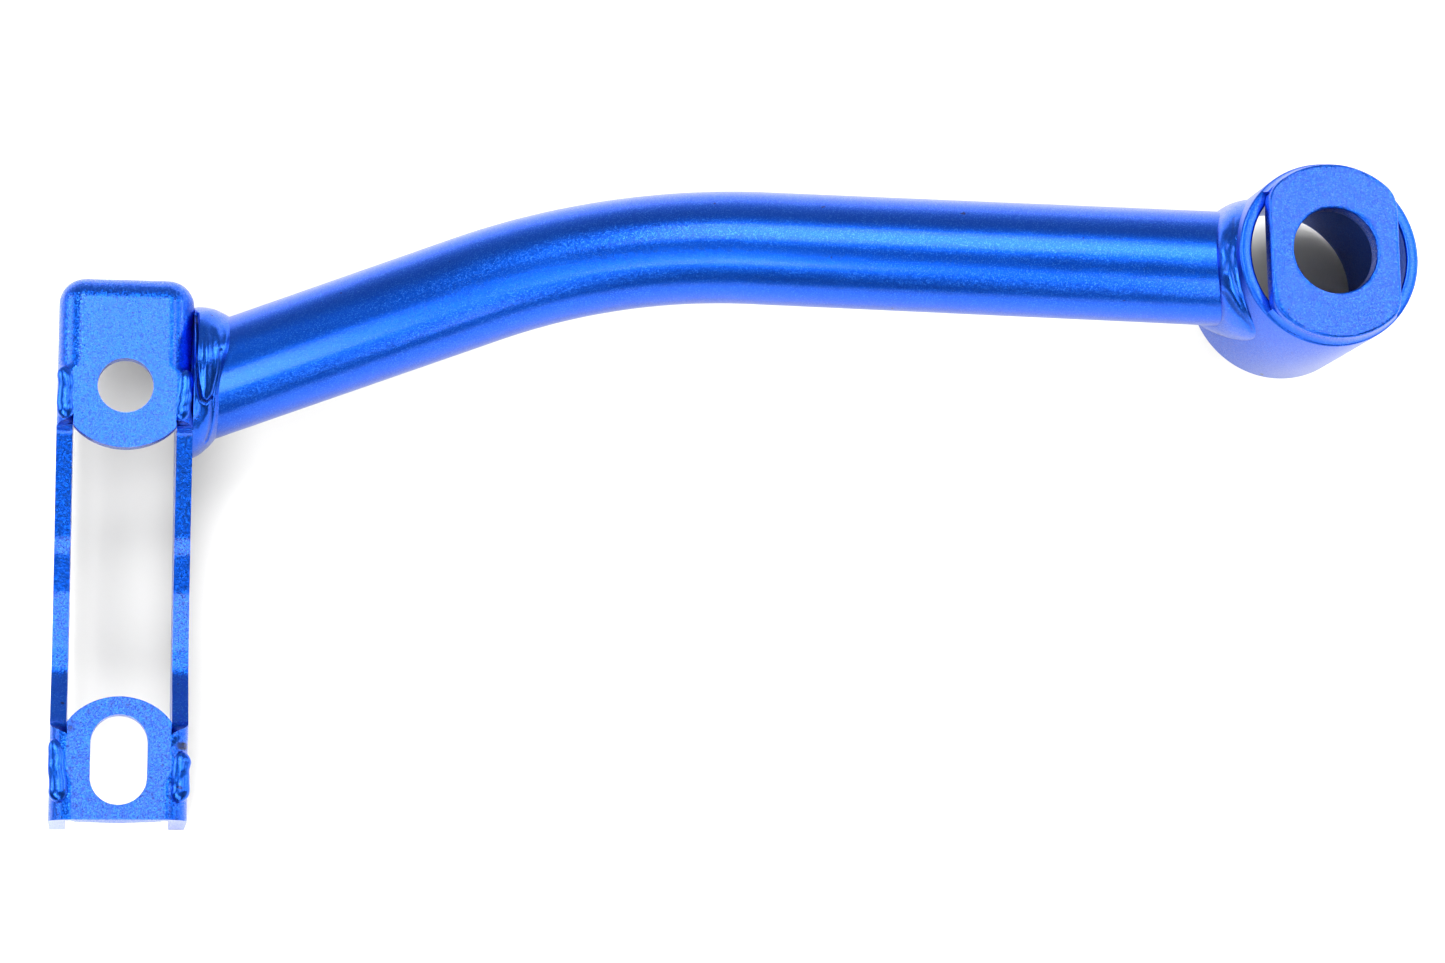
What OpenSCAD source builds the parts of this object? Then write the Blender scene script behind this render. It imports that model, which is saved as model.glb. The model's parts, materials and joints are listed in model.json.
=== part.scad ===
// Welded steel brace: a bent tube joins an upright sleeve to a pressed two-bolt bracket.
// Parts are drawn in the bolts' frame: origin at the centre of the sleeve's lower rim, +Z up its
// bore, bracket towards -X. lay_down() then tips the whole brace about Y, so that it rests on the
// bracket's inner foot and the sleeve's rim, as it does on a bench.

/* [Tube] */
// Outside diameter of the main tube
tube_d = 25.4; // [19:0.1:28]
// Wall thickness of the main tube
tube_wall = 2; // [1.2:0.1:3]
// Centreline radius of the bend
bend_r = 175; // [100:5:220]
// Height at which the tube's centreline reaches the sleeve's axis
tube_z = 23.5; // [22:0.1:25]
// Sideways offset of the tube's centreline there
tube_y = -1.2; // [-2:0.1:2]
// Distance of the bend's corner from the sleeve axis
bend_x = 150; // [130:1:165]
// Sideways offset of the bend's corner
bend_y = 11.6; // [4:0.1:18]
// Height of the bend's corner, from the sleeve's lower rim
bend_z = -20; // [-24:0.5:-16]

/* [Sleeve and end plate] */
// Outside diameter of the sleeve
sleeve_d = 41; // [38:0.5:45]
// Wall thickness of the sleeve
sleeve_wall = 2.8; // [1.5:0.1:4]
// Height of the sleeve
sleeve_h = 36; // [32:1:50]
// Diameter of the end plate's round ends
plate_d = 38.9; // [36:0.1:40]
// Width of the end plate across its two flats
plate_flats = 29.5; // [24:0.5:34]
// Thickness of the end plate
plate_t = 4; // [2:0.5:6]
// Diameter of the bolt hole in the end plate
plate_hole_d = 19; // [10:0.5:22]

/* [Bracket] */
// Outside width of the bracket
bracket_w = 30.4; // [29:0.1:33]
// Length of the bracket
bracket_l = 123.7; // [115:0.1:130]
// Depth of the bracket's side walls
bracket_h = 31.5; // [31:0.5:36]
// Thickness of the pressed sheet
sheet_t = 3.6; // [2.5:0.1:4]
// Outside bend radius of the pressed sheet
sheet_bend_r = 5.8; // [4.5:0.1:6.5]
// Distance of the bracket's centreline from the sleeve axis
bracket_x = 258.2; // [250:0.1:265]
// Height of the bracket's top face below the sleeve's lower rim
bracket_drop = 38.8; // [30:0.1:45]
// Overhang of the bracket's closed end past the sleeve axis
bracket_end_y = 5; // [0:0.1:8]

/* [Bracket holes and window] */
// Diameter of the round hole and width of the slot
bolt_hole_d = 12.5; // [10.5:0.1:14]
// End-to-end length of the slot
slot_l = 20; // [14:0.5:22]
// Distance from the closed end to the round hole
hole_from_end = 25.5; // [22:0.1:28]
// Distance between the round hole and the slot
hole_spacing = 84.4; // [80:0.1:90]
// Radius of the round tongue that holds the hole
tongue_r = 16; // [15:0.1:18]
// Distance of the tongue's tip beyond the hole
tongue_reach = 14.2; // [11:0.1:18]
// Radius of the round tab that holds the slot
tab_r = 14.8; // [13:0.1:16]
// Distance from the slot's centre to the tab's tip
tab_reach = 14; // [12:0.1:16]
// Greatest drop of the side arms below the bracket's top face
arm_dip = 12.5; // [8:0.5:16]

/* [Welds] */
// Height of the weld around the tube at the sleeve
sleeve_weld_h = 3; // [1.5:0.1:4]
// Width of the same weld along the tube
sleeve_weld_w = 3.6; // [2:0.1:5]
// Height of the weld around the tube at the bracket
bracket_weld_h = 3.2; // [2.6:0.1:4]
// Width of the same weld along the tube
bracket_weld_w = 8.5; // [5:0.1:10]
// How far the same weld's middle lies above and outside the tube's
bracket_weld_shift = 1; // [0:0.1:1.2]
// Radius of the beads beside the tongue
tongue_bead_r = 2.1; // [1.5:0.1:2.4]
// Radius of the beads beside the tab
tab_bead_r = 2.4; // [1.8:0.1:2.8]
// Height of the fillet between the end plate and the sleeve
plate_weld_h = 2.6; // [1:0.1:3.5]

/* [Hidden] */
$fn = 96;

coat = "#1f5fd6";
weld_coat = "#2a6ae0";
// how far one cut runs into the next
overlap = 0.2;
tube_r = tube_d / 2;
sleeve_r = sleeve_d / 2;
sleeve_bore_r = sleeve_r - sleeve_wall;

// the bracket's planes and lines
top_z = -bracket_drop;
foot_z = top_z - bracket_h;
half_w = bracket_w / 2;
half_in = half_w - sheet_t;
flange_x = -bracket_x + half_w;
open_y = bracket_end_y - bracket_l;
hole_y = bracket_end_y - hole_from_end;
slot_y = hole_y - hole_spacing;
tongue_tip_y = hole_y - tongue_reach;
tongue_arc_y = tongue_tip_y + tongue_r;
tab_tip_y = slot_y + tab_reach;
tab_arc_y = tab_tip_y - tab_r;
// where the arms leave the tongue and meet the tab
arm_start_y = tongue_arc_y - sqrt(tongue_r * tongue_r - half_in * half_in);
arm_end_y = tab_arc_y + sqrt(tab_r * tab_r - half_in * half_in);
// lengths of the beads beside them, and how far from the arms' ends they start
tongue_bead_l = 12;
tongue_bead_gap = 1.4;
tab_bead_l = 13.6;
tab_bead_gap = 4;
// where a bead's middle lies, inward and down, as shares of its radius
bead_inset = 0.75;
bead_sink = 0.5;
// the dip of the arms' edges: its lean towards the tongue, its flatness, and the low ripple on it
dip_lean = 0.92;
dip_flat = 0.42;
arm_ripple = 0.8;
dip_steps = 28;

// the tube's three corners: sleeve axis, bend and middle of the bracket's inner wall
tube_start = [0, tube_y, tube_z];
bend_corner = [-bend_x, bend_y, bend_z];
tube_end_shift = 2.6;
tube_end_drop = 15;
tube_end = [flange_x, hole_y + tube_end_shift, top_z - tube_end_drop];
leg_1_l = norm(tube_start - bend_corner);
leg_2_l = norm(tube_end - bend_corner);
// how far the tube is drawn past the bracket's wall, and a size larger than the bracket
run_on = 8;
far = 160;

// the bend's own frame: X back to the sleeve, the second leg turning towards +Y
function unit(v) = v / norm(v);
leg_x = unit(tube_start - bend_corner);
leg_2 = unit(tube_end - bend_corner);
bend_axis = unit(cross(leg_x, leg_2));
leg_y = cross(bend_axis, leg_x);
// rounded, so that the pieces of the tube meet exactly
bend_angle = round(1000 * (180 - acos(leg_x * leg_2))) / 1000;
tangent = bend_r * tan(bend_angle / 2);

// tilt that sets the bracket's inner foot and the sleeve's rim on one level
lie_angle = atan2(-foot_z, sleeve_r - flange_x);

module lay_down() {
    rotate([0, lie_angle, 0]) children();
}

// Moves a shape from the bend's own frame to its place
module at_bend() {
    multmatrix([
        [leg_x[0], leg_y[0], bend_axis[0], bend_corner[0]],
        [leg_x[1], leg_y[1], bend_axis[1], bend_corner[1]],
        [leg_x[2], leg_y[2], bend_axis[2], bend_corner[2]],
        [0, 0, 0, 1]
    ]) children();
}

// Turns +Z from the bend's corner along the leg that runs to the bracket
module along_leg_2() {
    rotate([0, 0, 180 - bend_angle]) rotate([0, 90, 0]) children();
}

// Carries a flat section along the tube's centreline, and on past the bracket's wall
module tube_run() {
    at_bend() {
        translate([tangent, 0, 0]) rotate([0, 90, 0])
            linear_extrude(leg_1_l - tangent) children();
        translate([tangent, bend_r, 0]) rotate([0, 0, -90 - bend_angle])
            rotate_extrude(angle = bend_angle) translate([bend_r, 0]) children();
        along_leg_2() translate([0, 0, tangent])
            linear_extrude(leg_2_l - tangent + run_on) children();
    }
}

// Everything on the bracket's side of its inner wall
module bracket_side() {
    translate([flange_x - far, -far / 2, top_z - far / 2]) cube(far);
}

module main_tube() {
    color(coat) lay_down() difference() {
        tube_run() difference() {
            circle(tube_r);
            circle(tube_r - tube_wall);
        }
        cylinder(h = sleeve_h, r = sleeve_r);
        bracket_side();
    }
}

module sleeve() {
    color(coat) lay_down() difference() {
        cylinder(h = sleeve_h, r = sleeve_r);
        translate([0, 0, -1]) cylinder(h = sleeve_h + 2, r = sleeve_bore_r);
    }
}

module end_plate() {
    color(coat) lay_down() translate([0, 0, sleeve_h]) difference() {
        intersection() {
            cylinder(h = plate_t, r = plate_d / 2);
            translate([-plate_flats / 2, -plate_d, 0]) cube([plate_flats, 2 * plate_d, plate_t]);
        }
        translate([0, 0, -1]) cylinder(h = plate_t + 2, r = plate_hole_d / 2);
    }
}

// Edge of a pressed cap: a wall `w` wide whose outer top corner is round
module cap_edge(w, depth, r) {
    translate([0, -depth]) square([w, depth - r]);
    translate([0, -r]) intersection() {
        circle(r);
        square(r);
    }
}

// Block with a round top: sides along Y, one round closed end at y1, open end at y0
module cap_block(hw, y0, y1, depth, r) {
    translate([-hw + r, y0, -depth]) cube([2 * (hw - r), y1 - r - y0, depth]);
    for (side = [0, 1]) mirror([side, 0, 0]) {
        translate([hw - r, y1 - r, 0]) rotate([90, 0, 0])
            linear_extrude(y1 - r - y0) cap_edge(r, depth, r);
        translate([hw - r, y1 - r, 0]) rotate_extrude(angle = 90) cap_edge(r, depth, r);
    }
    translate([-hw + r, y1 - r, 0]) rotate([90, 0, 90])
        linear_extrude(2 * (hw - r)) cap_edge(r, depth, r);
}

// Height of the arms' upper edge, from 0 at the tongue to 1 at the tab: a broad dip with a step
function arm_edge(u) =
    -arm_dip * pow(sin(180 * pow(u, dip_lean)), dip_flat)
    - arm_ripple * sin(720 * u) * sin(180 * u);

// Side view of the window: what is cut from the arms, Y across and Z up
module window_side() {
    span = arm_start_y - arm_end_y;
    polygon([
        [arm_start_y, sheet_t],
        for (i = [0 : dip_steps]) [arm_start_y - span * i / dip_steps, arm_edge(i / dip_steps)],
        [arm_end_y, sheet_t]
    ]);
}

// Tongue in plan: straight sides from the window's start, round tip
module tongue_plan() {
    intersection() {
        translate([0, tongue_arc_y]) circle(tongue_r);
        translate([-half_in, tongue_tip_y - 1]) square([2 * half_in, tongue_arc_y - tongue_tip_y]);
    }
}

// Tab in plan: round tip towards the window, straight sides to the open end
module tab_plan() {
    intersection() {
        union() {
            translate([0, tab_arc_y]) circle(tab_r);
            translate([-tab_r, open_y - 2]) square([2 * tab_r, tab_arc_y - open_y + 2]);
        }
        translate([-half_in, open_y - 2]) square([2 * half_in, tab_tip_y - open_y + 3]);
    }
}

module slot_plan() {
    for (end = [-1, 1]) translate([0, slot_y + end * (slot_l - bolt_hole_d) / 2])
        circle(bolt_hole_d / 2);
    translate([-bolt_hole_d / 2, slot_y - (slot_l - bolt_hole_d) / 2])
        square([bolt_hole_d, slot_l - bolt_hole_d]);
}

// Round weld bead on a seam of the bracket, from y0 to y1, on the side given by -1 or 1
module seam_bead(side, y0, y1, r) {
    translate([side * (half_w - bead_inset * r), y0, -bead_sink * r]) rotate([-90, 0, 0])
        cylinder(h = y1 - y0, r = r);
}

module tongue_bead(side) {
    bead_start_y = arm_start_y + tongue_bead_gap;
    seam_bead(side, bead_start_y, bead_start_y + tongue_bead_l, tongue_bead_r);
}

module tab_bead(side) {
    bead_end_y = arm_end_y - tab_bead_gap;
    seam_bead(side, bead_end_y - tab_bead_l, bead_end_y, tab_bead_r);
}

// Moves a shape from the bracket's own centreline and top face to its place
module at_bracket() {
    lay_down() translate([-bracket_x, 0, top_z]) children();
}

module pressed_bracket() {
    color(coat) at_bracket() difference() {
        cap_block(half_w, open_y, bracket_end_y, bracket_h, sheet_bend_r);
        // inside of the pressing
        translate([0, 0, -sheet_t])
            cap_block(half_in, open_y - 1, bracket_end_y - sheet_t, bracket_h, sheet_bend_r - sheet_t);
        // window through the web, with the tongue and the tab left standing
        difference() {
            translate([-half_in, arm_end_y, -sheet_bend_r])
                cube([2 * half_in, arm_start_y - arm_end_y, sheet_bend_r + 1]);
            translate([0, 0, -sheet_bend_r - 1]) linear_extrude(sheet_bend_r + 3) {
                tongue_plan();
                tab_plan();
            }
        }
        // dip of the arms' upper edges, outside the tongue
        for (side = [0, 1]) mirror([side, 0, 0]) translate([half_in - overlap, 0, 0])
            rotate([90, 0, 90]) linear_extrude(sheet_t + 1) window_side();
        translate([0, hole_y, -sheet_t - 1]) cylinder(h = sheet_t + 2, r = bolt_hole_d / 2);
        translate([0, 0, -sheet_t - 1]) linear_extrude(sheet_t + 2) slot_plan();
        for (side = [-1, 1]) {
            tongue_bead(side);
            tab_bead(side);
        }
    }
}

// Saddle weld: a collar round the tube that follows the sleeve's wall
module sleeve_weld() {
    color(weld_coat) lay_down() difference() {
        intersection() {
            tube_run() circle(tube_r + sleeve_weld_h);
            cylinder(h = sleeve_h, r = sleeve_r + sleeve_weld_w);
        }
        tube_run() circle(tube_r);
        translate([0, 0, -1]) cylinder(h = sleeve_h + 2, r = sleeve_r);
    }
}

// Collar weld that narrows from the bracket's inner wall down to the tube, thicker above and outside
module bracket_weld() {
    wide_r = tube_r + bracket_weld_h;
    shift = -bracket_weld_shift;
    color(weld_coat) lay_down() difference() {
        at_bend() translate([0, shift, shift]) along_leg_2() translate([0, 0, leg_2_l]) {
            translate([0, 0, -bracket_weld_w]) cylinder(h = bracket_weld_w, r1 = tube_r, r2 = wide_r);
            cylinder(h = run_on, r = wide_r);
        }
        tube_run() circle(tube_r);
        bracket_side();
    }
}

// Fillet between one round end of the end plate and the sleeve's rim
module plate_weld(turn) {
    sweep = 2 * asin(plate_flats / plate_d) - 3;
    color(weld_coat) lay_down() rotate([0, 0, turn - sweep / 2]) rotate_extrude(angle = sweep)
        polygon([
            [plate_d / 2, sleeve_h],
            [sleeve_r, sleeve_h],
            [plate_d / 2, sleeve_h + plate_weld_h]
        ]);
}

module plate_weld_front() { plate_weld(-90); }
module plate_weld_rear() { plate_weld(90); }
module tongue_weld_left() { color(weld_coat) at_bracket() tongue_bead(-1); }
module tongue_weld_right() { color(weld_coat) at_bracket() tongue_bead(1); }
module tab_weld_left() { color(weld_coat) at_bracket() tab_bead(-1); }
module tab_weld_right() { color(weld_coat) at_bracket() tab_bead(1); }

main_tube();
sleeve();
end_plate();
pressed_bracket();
sleeve_weld();
bracket_weld();
plate_weld_front();
plate_weld_rear();
tongue_weld_left();
tongue_weld_right();
tab_weld_left();
tab_weld_right();
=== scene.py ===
# Welded brace in flake-blue coat: bent tube, upright sleeve with a flatted plate, pressed two-bolt bracket
import bpy
import bmesh
import json
import math
import numpy as np
from mathutils import Vector, Matrix


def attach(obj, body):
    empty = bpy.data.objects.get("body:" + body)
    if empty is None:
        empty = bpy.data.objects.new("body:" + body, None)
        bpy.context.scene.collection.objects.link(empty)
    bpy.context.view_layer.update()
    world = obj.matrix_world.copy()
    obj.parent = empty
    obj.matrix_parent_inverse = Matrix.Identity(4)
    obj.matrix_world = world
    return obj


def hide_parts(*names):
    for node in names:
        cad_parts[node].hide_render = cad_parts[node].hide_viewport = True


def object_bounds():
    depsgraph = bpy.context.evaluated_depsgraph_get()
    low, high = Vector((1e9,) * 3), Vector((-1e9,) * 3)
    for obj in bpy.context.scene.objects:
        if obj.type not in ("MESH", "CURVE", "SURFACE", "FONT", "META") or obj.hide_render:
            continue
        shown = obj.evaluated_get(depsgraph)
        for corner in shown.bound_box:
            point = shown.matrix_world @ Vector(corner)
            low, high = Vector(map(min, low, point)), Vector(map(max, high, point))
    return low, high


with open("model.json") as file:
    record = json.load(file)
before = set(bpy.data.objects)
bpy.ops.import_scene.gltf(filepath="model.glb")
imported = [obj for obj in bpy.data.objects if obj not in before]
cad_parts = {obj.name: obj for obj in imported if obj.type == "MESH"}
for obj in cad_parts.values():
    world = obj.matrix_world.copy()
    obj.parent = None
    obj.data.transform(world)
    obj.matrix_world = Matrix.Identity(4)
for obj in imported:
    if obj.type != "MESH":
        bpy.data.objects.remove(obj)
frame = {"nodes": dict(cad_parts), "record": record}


def boxAsLists():
    return [list(corner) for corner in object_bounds()]


cadBox = boxAsLists()
print("frame loaded:", len(frame["nodes"]), "nodes")

# Shapes are worked out in millimetres in the bolts' own axes: X along the brace towards the sleeve,
# Y towards the bracket's closed end, Z up the bolts. toRow() puts them into the row's frame in metres.
mounts = {m["name"]: m for m in frame["record"]["mounts"]}
originPoint = np.array(mounts["sleeve_bore"]["pos_m"])
boltUp = np.array(mounts["end_plate_hole"]["axis"])
boltUp = boltUp / np.linalg.norm(boltUp)
boltSide = np.array([0.0, 1.0, 0.0])
boltAlong = np.cross(boltSide, boltUp)
boltAxes = np.stack([boltAlong, boltSide, boltUp])
mmPerMetre = 1000.0


def toRow(points):
    return originPoint + np.asarray(points, float) @ boltAxes / mmPerMetre


def fromRow(point):
    return (np.asarray(point, float) - originPoint) @ boltAxes.T * mmPerMetre


roundHole = fromRow(mounts["bracket_hole"]["pos_m"])
slotMiddle = fromRow(mounts["bracket_slot"]["pos_m"])
plateMiddle = fromRow(mounts["end_plate_hole"]["pos_m"])
topFace = fromRow(mounts["tongue_face"]["pos_m"])[2]


def smoothStep(value, low, high):
    # 0 below low, 1 above high, and a cubic ease between them
    t = np.clip((value - low) / (high - low), 0, 1)
    return t * t * (3 - 2 * t)


def wobble(u, v, seed, waves=6, low=0.6, high=2.2):
    # sum of sine waves of random direction, wavelength and phase over (u, v), scaled to about -1..1
    draw = np.random.default_rng(seed)
    total = 0
    for wave in range(waves):
        turn = draw.uniform(0, 2 * math.pi)
        rate = draw.uniform(low, high)
        total = total + np.sin(rate * (u * math.cos(turn) + v * math.sin(turn)) + draw.uniform(0, 6.283))
    return total / math.sqrt(waves)


def gridQuads(rows, columns, closeRows=False, closeColumns=False):
    # the four corners of every cell of a grid of points, carried round where a side is closed
    index = np.arange(rows * columns).reshape(rows, columns)
    down, across = np.roll(index, -1, 0), np.roll(index, -1, 1)
    quads = np.stack([index, down, np.roll(down, -1, 1), across], -1)
    return quads[:rows if closeRows else rows - 1, :columns if closeColumns else columns - 1].reshape(-1, 4)


def meshPiece(name, node, parts, material, marks=None, sharpAngle=38):
    # parts are (grid of points in mm, closeRows, closeColumns); their shared edges are merged into one mesh
    points, quads, start = [], [], 0
    for grid, closeRows, closeColumns in parts:
        rows, columns = grid.shape[:2]
        points.append(grid.reshape(-1, 3))
        quads.append(gridQuads(rows, columns, closeRows, closeColumns) + start)
        start += rows * columns
    mesh = bpy.data.meshes.new(name)
    mesh.from_pydata(toRow(np.concatenate(points)).tolist(), [], np.concatenate(quads).tolist())
    if marks is not None:
        layer = mesh.attributes.new("mark", "FLOAT", "POINT")
        layer.data.foreach_set("value", np.concatenate([m.reshape(-1) for m in marks]).astype(np.float32))
    work = bmesh.new()
    work.from_mesh(mesh)
    bmesh.ops.remove_doubles(work, verts=work.verts, dist=2e-6)
    bmesh.ops.dissolve_degenerate(work, edges=work.edges, dist=1e-7)
    bmesh.ops.recalc_face_normals(work, faces=work.faces)
    work.to_mesh(mesh)
    work.free()
    mesh.polygons.foreach_set("use_smooth", np.ones(len(mesh.polygons), bool))
    mesh.set_sharp_from_angle(angle=math.radians(sharpAngle))
    mesh.materials.append(material)
    piece = bpy.data.objects.new(name, mesh)
    bpy.context.scene.collection.objects.link(piece)
    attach(piece, "root")
    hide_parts(node)
    print(" ", name, len(mesh.polygons), "faces")
    return piece


def newGroup(name, inputs, outputs):
    group = bpy.data.node_groups.new(name, "ShaderNodeTree")
    for label, kind, value in inputs:
        socket = group.interface.new_socket(label, in_out="INPUT", socket_type=kind)
        if value is not None:
            socket.default_value = value
    for label, kind in outputs:
        group.interface.new_socket(label, in_out="OUTPUT", socket_type=kind)
    return group, group.nodes.new("NodeGroupInput"), group.nodes.new("NodeGroupOutput")


def addNode(tree, kind, **values):
    node = tree.nodes.new(kind)
    for key, value in values.items():
        if key.startswith("in_"):
            node.inputs[key[3:].replace("_", " ")].default_value = value
        else:
            setattr(node, key, value)
    return node


def mathNode(tree, operation, first, second):
    node = addNode(tree, "ShaderNodeMath", operation=operation)
    for socket, value in zip(node.inputs, (first, second)):
        if isinstance(value, (int, float)):
            socket.default_value = value
        else:
            tree.links.new(value, socket)
    return node.outputs[0]


def flakeGroup():
    # metal flakes: cells of random brightness, and a normal that each cell tips a little its own way
    group, given, result = newGroup(
        "flakes",
        [("Vector", "NodeSocketVector", None), ("Size", "NodeSocketFloat", 3200.0),
         ("Tilt", "NodeSocketFloat", 0.2)],
        [("Sparkle", "NodeSocketFloat"), ("Normal", "NodeSocketVector")])
    link = group.links.new
    cells = addNode(group, "ShaderNodeTexVoronoi", feature="F1")
    link(given.outputs["Vector"], cells.inputs["Vector"])
    link(given.outputs["Size"], cells.inputs["Scale"])
    middle = addNode(group, "ShaderNodeVectorMath", operation="SUBTRACT")
    middle.inputs[1].default_value = (0.5, 0.5, 0.5)
    link(cells.outputs["Color"], middle.inputs[0])
    tilt = addNode(group, "ShaderNodeVectorMath", operation="SCALE")
    link(middle.outputs[0], tilt.inputs[0])
    link(given.outputs["Tilt"], tilt.inputs["Scale"])
    surface = addNode(group, "ShaderNodeNewGeometry")
    tipped = addNode(group, "ShaderNodeVectorMath", operation="ADD")
    link(surface.outputs["Normal"], tipped.inputs[0])
    link(tilt.outputs[0], tipped.inputs[1])
    unit = addNode(group, "ShaderNodeVectorMath", operation="NORMALIZE")
    link(tipped.outputs[0], unit.inputs[0])
    channels = addNode(group, "ShaderNodeSeparateColor")
    link(cells.outputs["Color"], channels.inputs[0])
    link(channels.outputs[0], result.inputs["Sparkle"])
    link(unit.outputs[0], result.inputs["Normal"])
    return group


def patchGroup():
    # soft uneven patches and fine specks: cloudy noise, and the peaks of a finer one
    group, given, result = newGroup(
        "patches",
        [("Vector", "NodeSocketVector", None), ("Cloud size", "NodeSocketFloat", 60.0),
         ("Speck size", "NodeSocketFloat", 420.0), ("Speck level", "NodeSocketFloat", 0.74)],
        [("Cloud", "NodeSocketFloat"), ("Specks", "NodeSocketFloat"), ("Peel", "NodeSocketFloat")])
    link = group.links.new
    cloud = addNode(group, "ShaderNodeTexNoise", in_Detail=3.0, in_Roughness=0.55)
    link(given.outputs["Vector"], cloud.inputs["Vector"])
    link(given.outputs["Cloud size"], cloud.inputs["Scale"])
    link(cloud.outputs[0], result.inputs["Cloud"])
    speck = addNode(group, "ShaderNodeTexNoise", in_Detail=2.0, in_Roughness=0.5)
    link(given.outputs["Vector"], speck.inputs["Vector"])
    link(given.outputs["Speck size"], speck.inputs["Scale"])
    above = mathNode(group, "SUBTRACT", speck.outputs[0], given.outputs["Speck level"])
    scaled = mathNode(group, "MULTIPLY", above, 30.0)  # gives the specks a crisp edge
    clamped = addNode(group, "ShaderNodeClamp")
    link(scaled, clamped.inputs[0])
    link(clamped.outputs[0], result.inputs["Specks"])
    peel = addNode(group, "ShaderNodeTexNoise", in_Detail=2.0, in_Scale=900.0)
    link(given.outputs["Vector"], peel.inputs["Vector"])
    link(peel.outputs[0], result.inputs["Peel"])
    return group


flakes = flakeGroup()
patches = patchGroup()


def mixColor(tree, factor, first, second):
    node = addNode(tree, "ShaderNodeMix", data_type="RGBA")
    for socket, value in ((node.inputs[0], factor), (node.inputs[6], first), (node.inputs[7], second)):
        if isinstance(value, (int, float)):
            socket.default_value = value
        elif isinstance(value, tuple):
            socket.default_value = (*value, 1.0)
        else:
            tree.links.new(value, socket)
    return node.outputs[2]


def coatMaterial(name, look):
    # candy blue over flakes: a tinted metal with tipped flakes, under a clear coat that is a little uneven
    material = bpy.data.materials.new(name)
    material.use_nodes = True
    tree = material.node_tree
    link = tree.links.new
    shader = tree.nodes["Principled BSDF"]
    where = addNode(tree, "ShaderNodeTexCoord").outputs["Object"]
    flake = addNode(tree, "ShaderNodeGroup", node_tree=flakes)
    flake.inputs["Size"].default_value = look["flakeSize"]
    flake.inputs["Tilt"].default_value = look["flakeTilt"]
    link(where, flake.inputs["Vector"])
    patch = addNode(tree, "ShaderNodeGroup", node_tree=patches)
    patch.inputs["Cloud size"].default_value = look["cloudSize"]
    patch.inputs["Speck level"].default_value = look["speckLevel"]
    link(where, patch.inputs["Vector"])
    tint = mixColor(tree, patch.outputs["Cloud"], look["deep"], look["base"])
    brightFlakes = mathNode(tree, "POWER", flake.outputs["Sparkle"], look["sparklePower"])
    sparkle = mathNode(tree, "MULTIPLY", brightFlakes, look["sparkle"])
    tint = mixColor(tree, sparkle, tint, look["flash"])
    tint = mixColor(tree, patch.outputs["Specks"], tint, look["speck"])
    # the mark attribute carries real smudges on the tab and painted shade in weld creases, bead folds and
    # the wall's pit; there the colour goes towards a near-black blue
    marks = addNode(tree, "ShaderNodeAttribute", attribute_name="mark")
    tint = mixColor(tree, marks.outputs["Fac"], tint, look["smudgeAndShade"])
    # seen from the floor it is only a dim grey, which keeps its shadow free of blue
    path = addNode(tree, "ShaderNodeLightPath")
    tint = mixColor(tree, path.outputs["Is Diffuse Ray"], tint, look["unlit"])
    link(tint, shader.inputs["Base Color"])
    cloudRough = mathNode(tree, "MULTIPLY", patch.outputs["Cloud"], look["roughSpread"])
    rough = mathNode(tree, "ADD", cloudRough, look["rough"])
    markRough = mathNode(tree, "MULTIPLY", marks.outputs["Fac"], look["markRough"])
    link(mathNode(tree, "ADD", rough, markRough), shader.inputs["Roughness"])
    bump = addNode(tree, "ShaderNodeBump", in_Strength=look["peel"], in_Distance=look["peelDepth"])
    link(patch.outputs["Peel"], bump.inputs["Height"])
    link(flake.outputs["Normal"], bump.inputs["Normal"])
    link(bump.outputs[0], shader.inputs["Normal"])
    shader.inputs["Metallic"].default_value = look["metallic"]
    shader.inputs["Coat Weight"].default_value = look["coat"]
    shader.inputs["Coat Roughness"].default_value = look["coatRough"]
    return material


tubeLook = {
    "base": (0.0035, 0.088, 0.62), "deep": (0.002, 0.062, 0.50), "flash": (0.07, 0.32, 0.95),
    # smudgeAndShade: near-black blue for real smudges and for painted shade in creases, folds and the pit
    "speck": (0.01, 0.03, 0.16), "smudgeAndShade": (0.004, 0.010, 0.03), "unlit": (0.10, 0.10, 0.115),
    "flakeSize": 5200.0, "flakeTilt": 0.1, "sparkle": 0.3, "sparklePower": 5.0, "cloudSize": 45.0,
    "speckLevel": 0.76, "rough": 0.3, "roughSpread": 0.04, "markRough": 0.3,
    "peel": 0.0, "peelDepth": 0.0002, "metallic": 1.0, "coat": 0.26, "coatRough": 0.16,
}
plateLook = dict(tubeLook, deep=(0.003, 0.078, 0.58), flakeSize=3800.0, flakeTilt=0.32, sparkle=0.36,
                 cloudSize=80.0, speckLevel=0.73, peel=0.05, coat=0.3)
weldLook = dict(tubeLook, base=(0.005, 0.105, 0.68), flakeTilt=0.14, cloudSize=140.0, rough=0.26, peel=0.04,
                speckLevel=0.72, coatRough=0.18)
tubeCoat = coatMaterial("tubeCoat", tubeLook)
plateCoat = coatMaterial("plateCoat", plateLook)
weldCoat = coatMaterial("weldCoat", weldLook)
print("finishes made")


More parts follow.
